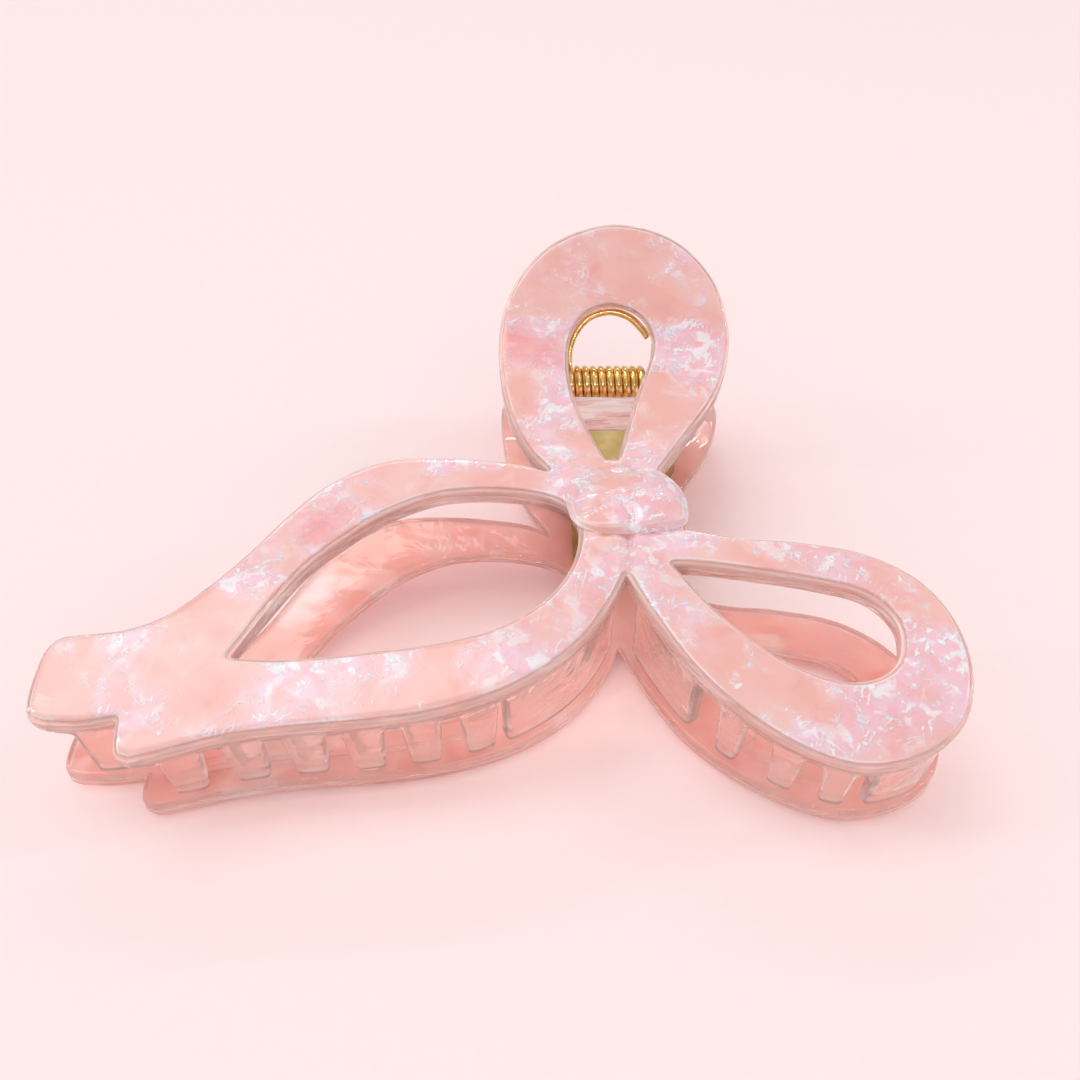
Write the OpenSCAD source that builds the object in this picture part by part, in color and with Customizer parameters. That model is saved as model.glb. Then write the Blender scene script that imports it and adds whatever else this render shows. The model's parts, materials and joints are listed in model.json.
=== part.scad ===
// Large claw hair clip in the shape of a one-sided ribbon bow.
// Two mirrored acetate halves turn on a sprung brass hinge behind the knot.
// The clip lies on its back half. The hinge pin runs along X, the jaws open towards -Y
// and the two thumb loops point towards +Y.

/* [Plates] */
// Thickness of each half, face sheet included
plate_t = 2.8; // [2.8:0.1:3.6]
// Thickness of the flaked face sheet
face_t = 1; // [0.6:0.1:1.2]
// Width of the clear rim around the face sheet
rim_w = 0.6; // [0.6:0.1:1.4]
// How far the face sheet stands proud of the rim
rim_drop = 0.4; // [0.2:0.1:0.5]
// Height of the knot above the face
knot_h = 2; // [1.6:0.1:3.2]

/* [Teeth] */
// Distance between neighbouring teeth on the ribbon tail
tooth_pitch = 6.9; // [6.7:0.1:7.1]
// Distance between neighbouring teeth on the closed loop
loop_pitch = 6.1; // [6:0.1:6.3]
// Thickness of each comb
comb_t = 2.2; // [1.8:0.1:2.4]
// Distance from the rim of the plate to the front comb
comb_inset = 0.6; // [0.4:0.1:0.8]
// Height of the rail that joins the teeth of a comb
rail_h = 1; // [1:0.1:2]
// Gap left between a tooth tip and the opposite plate
tip_gap = 0.5; // [0.4:0.1:0.8]

/* [Hinge] */
// Radius of the hinge pin
pin_r = 1.4; // [1.2:0.05:1.5]
// Running clearance between the pin and the front ears
pin_fit = 0.05; // [0.03:0.01:0.08]
// Thickness of the brass sheet of the brackets
bracket_t = 0.9; // [0.7:0.1:1]
// Thickness of the ears that hold the pin
ear_t = 1.2; // [1:0.1:1.3]
// Radius of the rivets
rivet_r = 0.9; // [0.7:0.1:1]

/* [Spring] */
// Diameter of the spring wire
wire_d = 1.2; // [1:0.05:1.2]
// Outer diameter of the coil
coil_d = 5.6; // [5.2:0.1:5.8]

/* [Hidden] */
$fn = 48;

clear_pink = [0.93, 0.66, 0.63];
flake_pink = [0.96, 0.76, 0.8];
brass = [0.83, 0.66, 0.3];

// The clip is drawn with the hinge pin on the X axis and the closing plane at z = 0,
// and is tipped into its resting place at the end.

// Outer face of the front half, seen from the side as [y, z]
face_line = [
    [-78, 6], [-71.7, 7], [-60.7, 8.6], [-46.7, 9.2], [-30.7, 8.2], [-16.7, 7.5],
    [-4, 8.4], [1, 9.6], [6, 12], [12, 15.096], [18.5, 18.896], [22, 21.156]
];

// Rim of a half, seen from above: smooth stretches between sharp corners
loop_rim = [
    [6, -26.4], [10, -19.8], [15.2, -11.2], [17.7, -4], [18.3, 2.6], [16, 9.6],
    [10.2, 15], [1, 17.2], [-8, 14.8], [-14, 9.4], [-16.8, 2], [-16.6, -7],
    [-15, -15.5], [-12.4, -22.2], [-9.6, -26.4]
];
tail_top_rim = [
    [-9.6, -26.4], [-14, -24.8], [-24, -23.7], [-32.6, -24.5], [-39.2, -28.8],
    [-43.8, -34.7], [-47.8, -41.6], [-51.6, -47], [-56, -51.6], [-60.4, -53.8],
    [-65, -54.5], [-68, -55], [-69.6, -57], [-70, -61.2], [-69.4, -64.8], [-67.4, -66.5]
];
tail_cut_rim = [[-67.4, -66.5], [-63.2, -66.6], [-59.2, -65.9]];
tail_tip_rim = [[-59.2, -65.9], [-58.8, -69.2], [-56.8, -70.9]];
tail_low_rim = [
    [-56.8, -70.9], [-52.6, -69.8], [-48, -68.5], [-43, -67.6], [-37.8, -67], [-30, -66.3],
    [-22.2, -65], [-15.2, -62.6], [-9.6, -59.3], [-5.2, -55.2], [-2, -50.4], [0.2, -45.6]
];
bow_rim = [
    [0.2, -45.6], [3.2, -52.4], [7.6, -59.8], [13.4, -65.8], [20.4, -70.2], [26.8, -71.6],
    [33.6, -69.8], [38.4, -65.5], [40.4, -58.7], [39.6, -51.8], [36.4, -46], [30.4, -41.8],
    [22.4, -39.9], [15.4, -39.2], [8.8, -37.6]
];
knot_rim = [[8.8, -37.6], [9.1, -33.4], [8.2, -29.6], [6, -26.4]];

// Openings of a half, each starting and ending at its sharp end
tail_window = [
    [-47.4, -57.8], [-40.8, -45.4], [-36.4, -39.9], [-31.2, -34.9], [-25, -31.5],
    [-19.6, -30.6], [-13.6, -30.9], [-8.6, -32.4], [-5.8, -36], [-6.2, -42.6],
    [-9.2, -48.5], [-14.4, -52.9], [-21.2, -55.4], [-30.6, -57], [-40.6, -58], [-47.4, -57.8]
];
bow_window = [
    [6.2, -43.9], [10, -44.1], [16.4, -45.2], [23.4, -46.7], [29.4, -48.8], [32.5, -53.2],
    [31.5, -58.5], [27.4, -60.9], [22.4, -60.3], [16.6, -56.9], [10.8, -50.9], [6.2, -43.9]
];
finger_window = [
    [-1.4, -24], [-3.9, -17], [-5.7, -10.6], [-6.3, -4], [-5.6, 0.6], [-3.4, 3.6],
    [0.3, 4.7], [4.3, 3.4], [6.2, 0.2], [5.7, -4.2], [3.6, -10.6], [1.7, -17.6], [0.1, -24]
];

// A point on a smooth curve through four neighbours, at u from 0 to 1 between b and c
function curve_point(a, b, c, d, u) =
    0.5 * (2 * b + (c - a) * u + (2 * a - 5 * b + 4 * c - d) * u * u
    + (3 * b - a - 3 * c + d) * u * u * u);
// An open smooth curve through the points p, n steps per stretch, without its last point
function smooth(p, n) = [
    for (i = [0 : len(p) - 2], k = [0 : n - 1])
        curve_point(
            i > 0 ? p[i - 1] : 2 * p[0] - p[1], p[i], p[i + 1],
            i < len(p) - 2 ? p[i + 2] : 2 * p[i + 1] - p[i], k / n
        )
];

steps = 3;
whole_rim = concat(
    smooth(loop_rim, steps), smooth(tail_top_rim, steps), smooth(tail_cut_rim, steps),
    smooth(tail_tip_rim, steps), smooth(tail_low_rim, steps), smooth(bow_rim, steps),
    smooth(knot_rim, steps)
);
face_curve = concat(smooth(face_line, steps), [face_line[len(face_line) - 1]]);

// The face line moved towards the closing plane by depth, square to the face
function slope(i) =
    let (a = face_curve[max(i - 1, 0)], b = face_curve[min(i + 1, len(face_curve) - 1)])
    (b - a) / norm(b - a);
function sunk(depth) = [
    for (i = [0 : len(face_curve) - 1])
        face_curve[i] + depth * [slope(i)[1], -slope(i)[0]]
];
function reversed(p) = [for (i = [len(p) - 1 : -1 : 0]) p[i]];

// The clip rests on the flat stretch of its back that starts at this point of the curve,
// and on the end of its thumb loop
rest_start = 5;
rest_a = face_curve[rest_start];
rest_b = face_curve[rest_start + 1];
rest_tilt = atan((rest_b[1] - rest_a[1]) / (rest_b[0] - rest_a[0]));
rest_height = rest_a[1] * cos(rest_tilt) - rest_a[0] * sin(rest_tilt);
rest_shift = [14.785, 26.33, rest_height];

rail_depth = plate_t + rail_h;

// Limits that lie clear outside the clip
span_x = 90;
far_y = -100;
far_z = 30;

// Puts a flat shape drawn as [y, z] across the clip, from x to x + w
module across(x, w) {
    translate([x, 0, 0])
        rotate([90, 0, 90])
            linear_extrude(height = w)
                children();
}

// The layer between two depths under the face of the front half
module layer(top_depth, low_depth) {
    across(-span_x, 2 * span_x)
        polygon(concat(sunk(top_depth), reversed(sunk(low_depth))));
}

// Everything of the front half that lies deeper than the given depth, down to z = low
module below(depth, low) {
    top = sunk(depth);
    last = len(top) - 1;
    across(-span_x, 2 * span_x)
        polygon(concat(top, [[top[last][0], low], [top[0][0], low]]));
}

module windows() {
    polygon(smooth(tail_window, steps));
    polygon(smooth(bow_window, steps));
    polygon(smooth(finger_window, steps));
}

// A column through the whole clip over a flat shape
module column() {
    translate([0, 0, -far_z])
        linear_extrude(height = 2 * far_z)
            children();
}

// One half lies above the closing plane, the other is its mirror image
module front() {
    translate(rest_shift)
        rotate([rest_tilt, 0, 0])
            children();
}
module back() {
    front()
        mirror([0, 0, 1])
            children();
}

rivet_places = [[-3.6, -29.5], [2.4, -29.5]];
rivet_top = 7;

// Clear bar under the finger window, between the bracket and the coil
bar_y = [-15.5, -9.1];
bar_x = 6.8;
bar_t = 1.4;
bar_root = 0.6;

// The face sheet lies in a shallow pocket of the base
module face_column() {
    column()
        difference() {
            offset(delta = -rim_w)
                polygon(whole_rim);
            offset(delta = rim_w)
                windows();
        }
}

module base() {
    color(clear_pink)
        difference() {
            union() {
                intersection() {
                    column()
                        difference() {
                            polygon(whole_rim);
                            windows();
                        }
                    layer(rim_drop, plate_t);
                }
                intersection() {
                    column()
                        translate([-bar_x, bar_y[0]])
                            square([2 * bar_x, bar_y[1] - bar_y[0]]);
                    layer(plate_t - bar_root, plate_t + bar_t);
                }
            }
            intersection() {
                face_column();
                layer(0, face_t);
            }
            for (place = rivet_places)
                translate([place[0], place[1], 0])
                    cylinder(r = rivet_r, h = rivet_top);
        }
}

module face_sheet() {
    color(flake_pink)
        intersection() {
            face_column();
            layer(0, face_t);
        }
}

// The knot is a low dome that sits on the face sheet
knot_centre = [1.2, -31];
knot_r = 8;
dome_r = (knot_r * knot_r + knot_h * knot_h) / (2 * knot_h);
knot_base_z = 8.15;

module knot() {
    color(flake_pink)
        difference() {
            translate([knot_centre[0], knot_centre[1], knot_base_z + knot_h - dome_r])
                sphere(r = dome_r, $fn = 96);
            below(0, -2 * dome_r);
        }
}

// Strip that follows the rim of a half, starting inset inside it
module rim_strip(inset) {
    difference() {
        offset(delta = -inset)
            polygon(whole_rim);
        offset(delta = -inset - comb_t)
            polygon(whole_rim);
    }
}

// Heights of a tooth's root and tip, before the comb is cut to fit between the plates
root_z = 7;
tip_z = -6;

// Front view of a tooth as [x, z], wide at the plate and narrower at the tip
module tooth_outline(root_w, tip_w) {
    polygon([
        [-root_w / 2, root_z], [root_w / 2, root_z], [tip_w / 2, tip_z], [-tip_w / 2, tip_z]
    ]);
}
module tooth(x, root_w, tip_w) {
    translate([x, 0, 0])
        rotate([90, 0, 0])
            linear_extrude(height = -far_y)
                tooth_outline(root_w, tip_w);
}
module wall(x0, x1) {
    translate([x0, far_y, -far_z])
        cube([x1 - x0, -far_y, 2 * far_z]);
}

// A comb: the children select its teeth, zone its stretch of the rim
module comb(zone, inset) {
    color(clear_pink)
        intersection() {
            column()
                intersection() {
                    rim_strip(inset);
                    polygon(zone);
                }
            below(plate_t, -far_z);
            mirror([0, 0, 1])
                below(plate_t + tip_gap, -far_z);
            union() {
                layer(0, rail_depth);
                children();
            }
        }
}

tail_zone = [
    [-66, -76], [-0.2, -76], [-0.2, -43], [-12, -53], [-20, -58.6], [-40, -60.6], [-66, -60.6]
];
loop_zone = [
    [0.6, -43], [0.6, -76], [38, -76], [38, -58], [24, -62], [14, -56], [8, -49]
];
tail_zone_inner = [
    [-56, -76], [-16, -76], [-16, -55.5], [-20, -57], [-40, -59.2], [-56, -59.6]
];
loop_zone_inner = [
    [11, -76], [26, -76], [26, -62.6], [18, -60], [11, -54]
];

// Place of the first tooth of each front comb, and of the block under the tail's end
tail_tooth_x = -17.5;
loop_tooth_x = 11.5;
tail_block_x = -62.4;
// The back teeth stand behind the front teeth and halfway between them
back_inset = comb_inset + comb_t + 0.8;
tail_root_w = 5.6;
tail_tip_w = 3.6;
loop_root_w = 4.6;
loop_tip_w = 3;

module front_tail_teeth() {
    wall(-14.4, 0);
    for (i = [0 : 5])
        tooth(tail_tooth_x - i * tooth_pitch, tail_root_w, tail_tip_w);
    tooth(tail_block_x, tail_root_w, tail_tip_w);
}
module front_loop_teeth() {
    wall(0, 7.6);
    for (i = [0 : 2])
        tooth(loop_tooth_x + i * loop_pitch, loop_root_w, loop_tip_w);
    wall(27.8, 37);
}
module back_tail_teeth() {
    for (i = [0 : 4])
        tooth(tail_tooth_x - (i + 0.5) * tooth_pitch, tail_root_w, tail_tip_w);
}
module back_loop_teeth() {
    for (i = [0 : 1])
        tooth(loop_tooth_x + (i + 0.5) * loop_pitch, loop_root_w, loop_tip_w);
}

// Fork of brass sheet under the knot, with an ear at the end of each prong
strip_in = 6.9;
strip_out = 9.9;
fork_end = 3.6;
fork = [
    [-6, -33], [4.6, -33], [4.6, -25], [8.6, -17.6], [strip_out, -15], [strip_out, fork_end],
    [strip_in, fork_end], [strip_in, -15.8], [-strip_in, -15.8], [-strip_in, fork_end],
    [-strip_out, fork_end], [-strip_out, -15], [-6, -25]
];
ear_r = 2.7;
ear_top = 10;
front_ear_x = strip_in;
back_ear_x = 8.5;

module ear(x) {
    intersection() {
        across(x, ear_t)
            union() {
                circle(r = ear_r);
                polygon([[-ear_r, 0], [ear_r, 0], [fork_end, ear_top], [-fork_end, ear_top]]);
            }
        below(plate_t, -far_z);
    }
}

module bracket(ear_x, hole_r) {
    color(brass)
        difference() {
            union() {
                intersection() {
                    column()
                        polygon(fork);
                    layer(plate_t, plate_t + bracket_t);
                }
                ear(ear_x);
                ear(-ear_x - ear_t);
            }
            across(-span_x, 2 * span_x)
                circle(r = hole_r);
            for (place = rivet_places)
                translate([place[0], place[1], 0])
                    cylinder(r = rivet_r, h = rivet_top);
        }
}

rivet_head_r = 1.5;
rivet_head_h = 0.6;

module rivets() {
    color(brass)
        for (place = rivet_places)
            intersection() {
                translate([place[0], place[1], 0])
                    union() {
                        cylinder(r = rivet_r, h = rivet_top);
                        intersection() {
                            cylinder(r = rivet_head_r, h = rivet_top);
                            translate([-place[0], -place[1], 0])
                                below(plate_t + bracket_t, 0);
                        }
                    }
                layer(0, plate_t + bracket_t + rivet_head_h);
            }
}

pin_half = 9.9;
pin_head_r = 2.1;
pin_head_h = 0.8;

module pin() {
    color(brass)
        front()
            union() {
                across(-pin_half, 2 * pin_half)
                    circle(r = pin_r);
                for (x = [-pin_half - pin_head_h, pin_half])
                    across(x, pin_head_h)
                        circle(r = pin_head_r);
            }
}

// The wire runs along one arm, through the coil and out along the other arm.
// Half a turn of symmetry about the Y axis gives the second arm.
coil_turns = 9.5;
coil_pitch = wire_d * 1.045;
coil_r = (coil_d - wire_d) / 2;
arm_hand = [
    [-6.1, 1.7, 2.6], [-5.9, 3.5, 4.5], [-4.8, 5.3, 6.4], [-2.8, 6.8, 7.8], [0.4, 7.4, 8.4],
    [3.4, 6.8, 7.8], [5.4, 5.4, 6.6], [6.3, 4.3, 5.8]
];
wire_sides = 8;
turn_steps = 20;
arm_steps = 2;

coil_path = [
    for (i = [0 : coil_turns * turn_steps])
        let (a = (i / turn_steps - coil_turns / 2) * 360)
        [a / 360 * coil_pitch, coil_r * cos(a), coil_r * sin(a)]
];
arm_end = arm_hand[len(arm_hand) - 1];
front_arm = concat(smooth(concat([coil_path[0]], arm_hand), arm_steps), [arm_end]);
front_lead = [for (i = [len(front_arm) - 1 : -1 : 1]) front_arm[i]];
back_lead = [for (p = reversed(front_lead)) [-p[0], p[1], -p[2]]];
wire_path = concat(front_lead, coil_path, back_lead);

// Rings of points swept along the path, kept from twisting by a fixed reference
function unit(v) = v / norm(v);
function along(p, i) = unit(p[min(i + 1, len(p) - 1)] - p[max(i - 1, 0)]);
function side_of(t) = unit(cross(t, abs(t[0]) > 0.9 ? [0, 0, 1] : [1, 0, 0]));
function ring(p, i) =
    let (t = along(p, i), s = side_of(t), q = cross(t, s))
    [
        for (k = [0 : wire_sides - 1])
            let (a = 360 * k / wire_sides)
            p[i] + wire_d / 2 * (cos(a) * s + sin(a) * q)
    ];

module spring() {
    points = [for (i = [0 : len(wire_path) - 1], v = ring(wire_path, i)) v];
    last = len(wire_path) - 1;
    sides = [
        for (i = [0 : last - 1], k = [0 : wire_sides - 1])
            let (n = (k + 1) % wire_sides, a = i * wire_sides, b = a + wire_sides)
            [a + k, b + k, b + n, a + n]
    ];
    start_cap = [for (k = [0 : wire_sides - 1]) k];
    end_cap = [for (k = [wire_sides - 1 : -1 : 0]) last * wire_sides + k];
    color(brass)
        front()
            polyhedron(points, concat(sides, [start_cap, end_cap]));
}

module back_base() back() base();
module back_face_sheet() back() face_sheet();
module back_knot() back() knot();
module back_tail_comb() back() comb(tail_zone_inner, back_inset) back_tail_teeth();
module back_loop_comb() back() comb(loop_zone_inner, back_inset) back_loop_teeth();
module back_bracket() back() bracket(back_ear_x, pin_r);
module back_rivets() back() rivets();
module hinge_pin() pin();
module torsion_spring() spring();
module front_base() front() base();
module front_face_sheet() front() face_sheet();
module front_knot() front() knot();
module front_tail_comb() front() comb(tail_zone, comb_inset) front_tail_teeth();
module front_loop_comb() front() comb(loop_zone, comb_inset) front_loop_teeth();
module front_bracket() front() bracket(front_ear_x, pin_r + pin_fit);
module front_rivets() front() rivets();

back_base();
back_face_sheet();
back_knot();
back_tail_comb();
back_loop_comb();
back_bracket();
back_rivets();
hinge_pin();
torsion_spring();
front_base();
front_face_sheet();
front_knot();
front_tail_comb();
front_loop_comb();
front_bracket();
front_rivets();
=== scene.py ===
import copy
import json
import math

import bmesh
import bpy
import numpy as np
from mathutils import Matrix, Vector
from mathutils.geometry import delaunay_2d_cdt

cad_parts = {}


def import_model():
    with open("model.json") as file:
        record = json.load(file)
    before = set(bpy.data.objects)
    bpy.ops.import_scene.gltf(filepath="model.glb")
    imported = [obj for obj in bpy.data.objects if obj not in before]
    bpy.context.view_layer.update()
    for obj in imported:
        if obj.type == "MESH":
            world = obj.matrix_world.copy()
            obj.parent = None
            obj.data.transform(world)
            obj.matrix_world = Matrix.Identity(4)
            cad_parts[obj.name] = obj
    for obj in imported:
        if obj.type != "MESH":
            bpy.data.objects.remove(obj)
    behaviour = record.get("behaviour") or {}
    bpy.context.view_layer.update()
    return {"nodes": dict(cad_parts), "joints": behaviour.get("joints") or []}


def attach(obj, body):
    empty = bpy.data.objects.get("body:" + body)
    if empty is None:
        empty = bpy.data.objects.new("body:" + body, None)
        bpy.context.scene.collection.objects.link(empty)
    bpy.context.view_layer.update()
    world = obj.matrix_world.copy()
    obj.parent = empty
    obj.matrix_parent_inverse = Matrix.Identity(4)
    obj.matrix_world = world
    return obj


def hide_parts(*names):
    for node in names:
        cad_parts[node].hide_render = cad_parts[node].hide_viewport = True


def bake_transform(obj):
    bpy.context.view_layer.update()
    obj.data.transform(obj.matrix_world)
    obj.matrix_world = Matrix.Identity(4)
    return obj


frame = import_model()

MM = 0.001
FRONT = "front_half"
BACK = "back_half"

# ---------------------------------------------------------------- design lines
# Millimetres, with the hinge pin on the X axis and the closing plane at z = 0.

# Plate, face sheet, clear rim round the sheet, and knot
PLATE_T = 2.8
FACE_T = 1.0
RIM_W = 0.6
RIM_DROP = 0.4
KNOT_H = 2.0

# Combs: thickness, distance from the rim, and the gap between front and back combs
COMB_T = 2.2
COMB_INSET = 0.6
COMB_GAP = 0.8
RAIL_H = 1.0
# What a tooth's tip leaves free of the other half's plate
TIP_GAP = 0.5
# Front teeth along the tail and along the closed loop: first one's place, and spacing
TAIL_TOOTH_X = -17.5
TAIL_PITCH = 6.9
LOOP_TOOTH_X = 11.5
LOOP_PITCH = 6.1
# Widths of a tooth where its taper starts and ends
TAIL_TOOTH = (5.6, 3.6)
CUT_TOOTH = (5.6, 4.4)
LOOP_TOOTH = (4.6, 3.0)
# The taper ends this far past the closing plane, and is this long
TAPER_PAST = 6.0
TAPER_LENGTH = 13.0
# Depth given to the combs, past every line that the clear material draws
NO_LINES = 10.0

# Spring
WIRE_D = 1.2
COIL_D = 5.6
TURNS = 9.5
WIRE_PITCH = WIRE_D * 1.045

# The wall of the finger window leans outwards under its round end, whose middle is at
# y = -WINDOW_Y: by FLARE at most, less and less beyond the radius and towards the bar
WINDOW_Y = 0.6
WINDOW_R = 5.4
FLARE = 1.9
FLARE_FADE = 4
FLARE_START = -11
FLARE_RUN = 8

# Outer face of the front half, seen from the side as [y, z]
face_line = [
    (-78, 6), (-71.7, 7), (-60.7, 8.6), (-46.7, 9.2), (-30.7, 8.2), (-16.7, 7.5),
    (-4, 8.4), (1, 9.6), (6, 12), (12, 15.096), (18.5, 18.896), (22, 21.156),
]
# Rim of a half, seen from above: smooth stretches that meet at corners, rounded later
loop_rim = [
    (6, -26.4), (10, -19.8), (15.2, -11.2), (17.7, -4), (18.3, 2.6), (16, 9.6),
    (10.2, 15), (1, 17.2), (-8, 14.8), (-14, 9.4), (-16.8, 2), (-16.6, -7),
    (-15, -15.5), (-12.4, -22.2), (-9.6, -26.4),
]
tail_top_rim = [
    (-9.6, -26.4), (-14, -24.8), (-24, -23.7), (-32.6, -24.5), (-39.2, -28.8),
    (-43.8, -34.7), (-47.8, -41.6), (-51.6, -47), (-56, -51.6), (-60.4, -53.8),
    (-65, -54.5), (-68, -55), (-69.6, -57), (-70, -61.2), (-69.8, -64.3),
    (-69, -65.9), (-67.4, -66.5),
]
tail_cut_rim = [(-67.4, -66.5), (-63.2, -66.6), (-59.2, -65.9)]
tail_tip_rim = [(-59.2, -65.9), (-59, -68.6), (-58.4, -70.2), (-56.8, -70.9)]
tail_low_rim = [
    (-56.8, -70.9), (-52.6, -69.8), (-48, -68.5), (-43, -67.6), (-37.8, -67), (-30, -66.3),
    (-22.2, -65), (-15.2, -62.6), (-9.6, -59.3), (-5.2, -55.2), (-2, -50.4), (0.2, -45.6),
]
bow_rim = [
    (0.2, -45.6), (3.2, -52.4), (7.6, -59.8), (13.4, -65.8), (20.4, -70.2), (26.8, -71.6),
    (33.6, -69.8), (38.4, -65.5), (40.4, -58.7), (39.6, -51.8), (36.4, -46), (30.4, -41.8),
    (22.4, -39.9), (15.4, -39.2), (8.8, -37.6),
]
knot_rim = [(8.8, -37.6), (9.1, -33.4), (8.2, -29.6), (6, -26.4)]
tail_window = [
    (-47.4, -57.8), (-40.8, -45.4), (-36.4, -39.9), (-31.2, -34.9), (-25, -31.5),
    (-19.6, -30.6), (-13.6, -30.9), (-8.6, -32.4), (-5.8, -36), (-6.2, -42.6),
    (-9.2, -48.5), (-14.4, -52.9), (-21.2, -55.4), (-30.6, -57), (-40.6, -58), (-47.4, -57.8),
]
bow_window = [
    (6.2, -43.9), (10, -44.1), (16.4, -45.2), (23.4, -46.7), (29.4, -48.8), (32.5, -53.2),
    (31.5, -58.5), (27.4, -60.9), (22.4, -60.3), (16.6, -56.9), (10.8, -50.9), (6.2, -43.9),
]
finger_window = [
    (-1.4, -24), (-3.9, -17), (-5.7, -10.6), (-6.3, -4), (-5.6, 0.6), (-3.4, 3.6),
    (0.3, 4.7), (4.3, 3.4), (6.2, 0.2), (5.7, -4.2), (3.6, -10.6), (1.7, -17.6), (0.1, -24),
]
knot_line = [
    (-7.2, -33.2), (-6.4, -29.2), (-4.4, -25.9), (-1, -24.9), (3, -25.2), (6.4, -27.4),
    (8.5, -30.6), (9, -34.2), (8.3, -37.2), (5, -38.2), (1.2, -38.8), (-3.4, -38.5),
    (-6.2, -36.6), (-7.2, -33.2),
]

# ---------------------------------------------------------------- plane curves


def smooth(points, steps):
    """Points on a smooth open curve through the given points, without its last one."""
    p = np.array(points, float)
    p = np.vstack([2 * p[0] - p[1], p, 2 * p[-1] - p[-2]])
    out = []
    for a, b, c, d in zip(p, p[1:], p[2:], p[3:]):
        for u in np.arange(steps) / steps:
            out.append(0.5 * (
                2 * b + (c - a) * u + (2 * a - 5 * b + 4 * c - d) * u * u
                + (3 * b - a - 3 * c + d) * u ** 3
            ))
    return out


def even(points, gap):
    """The same polyline with points about one gap apart, corners kept."""
    out = []
    for a, b in zip(points, points[1:]):
        n = max(1, round(np.linalg.norm(b - a) / gap))
        out += [a + (b - a) * k / n for k in range(n)]
    return out + [points[-1]]


def closed(*stretches, steps=6, gap=0.9):
    """One closed loop made of smooth stretches that meet at corners."""
    loop = []
    for stretch in stretches:
        loop += even(smooth(stretch, steps) + [np.array(stretch[-1], float)], gap)[:-1]
    return np.array(loop)


def unit(value):
    """The value, held between 0 and 1."""
    return min(1, max(0, value))


def softened(loop, rounds=3, least=0.2):
    """The loop with every corner that turns more than the least angle cut off a few times."""
    for _ in range(rounds):
        out = []
        for a, b, c in zip(np.roll(loop, 1, 0), loop, np.roll(loop, -1, 0)):
            u, v = b - a, c - b
            turn = abs(math.atan2(u[0] * v[1] - u[1] * v[0], u.dot(v)))
            out += [b] if turn < least else [b - u / 4, b + v / 4]
        loop = np.array(out)
    return loop


def area(loop):
    """Area of a loop, negative if it runs clockwise."""
    x, y = loop[:, 0], loop[:, 1]
    return 0.5 * float(np.sum(x * np.roll(y, -1) - np.roll(x, -1) * y))


def turned(loop, anticlockwise):
    """The loop, turned round if it doesn't run the wanted way."""
    return loop if (area(loop) > 0) == anticlockwise else loop[::-1].copy()


def inner_ring(loop, depth):
    """Points a given distance to the left of a loop, with a fan at each hollow corner."""
    out = []
    for a, b, c in zip(np.roll(loop, 1, 0), loop, np.roll(loop, -1, 0)):
        u = (b - a) / np.linalg.norm(b - a)
        v = (c - b) / np.linalg.norm(c - b)
        nu, nv = np.array([-u[1], u[0]]), np.array([-v[1], v[0]])
        turn = u[0] * v[1] - u[1] * v[0]
        if turn > -0.2:
            m = nu + nv
            out.append(b + depth * m / m.dot(nu))
            continue
        start = math.atan2(nu[1], nu[0])
        sweep = -math.acos(max(-1, min(1, nu.dot(nv))))
        n = max(2, round(-sweep / 0.3))
        for k in range(n + 1):
            angle = start + sweep * k / n
            out.append(b + depth * np.array([math.cos(angle), math.sin(angle)]))
    return np.array(out)


def distance(points, loops):
    """Distance from each point to the nearest edge of the loops."""
    a = np.vstack(loops)
    b = np.vstack([np.roll(loop, -1, 0) for loop in loops])
    ab = b - a
    out = []
    for part in np.array_split(points, max(1, len(points) // 1500)):
        ap = part[:, None, :] - a[None]
        t = np.clip((ap * ab).sum(2) / (ab * ab).sum(1), 0, 1)
        gap = ap - t[:, :, None] * ab
        out.append(np.sqrt((gap * gap).sum(2)).min(1))
    return np.concatenate(out)


def inside(points, loops):
    """Which points lie inside the outline and outside the holes."""
    odd = np.zeros(len(points), bool)
    for loop in loops:
        for (x0, y0), (x1, y1) in zip(loop, np.roll(loop, -1, 0)):
            crosses = (y0 > points[:, 1]) != (y1 > points[:, 1])
            if y0 != y1:
                x = x0 + (points[:, 1] - y0) / (y1 - y0) * (x1 - x0)
                odd ^= crosses & (points[:, 0] < x)
    return odd


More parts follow.
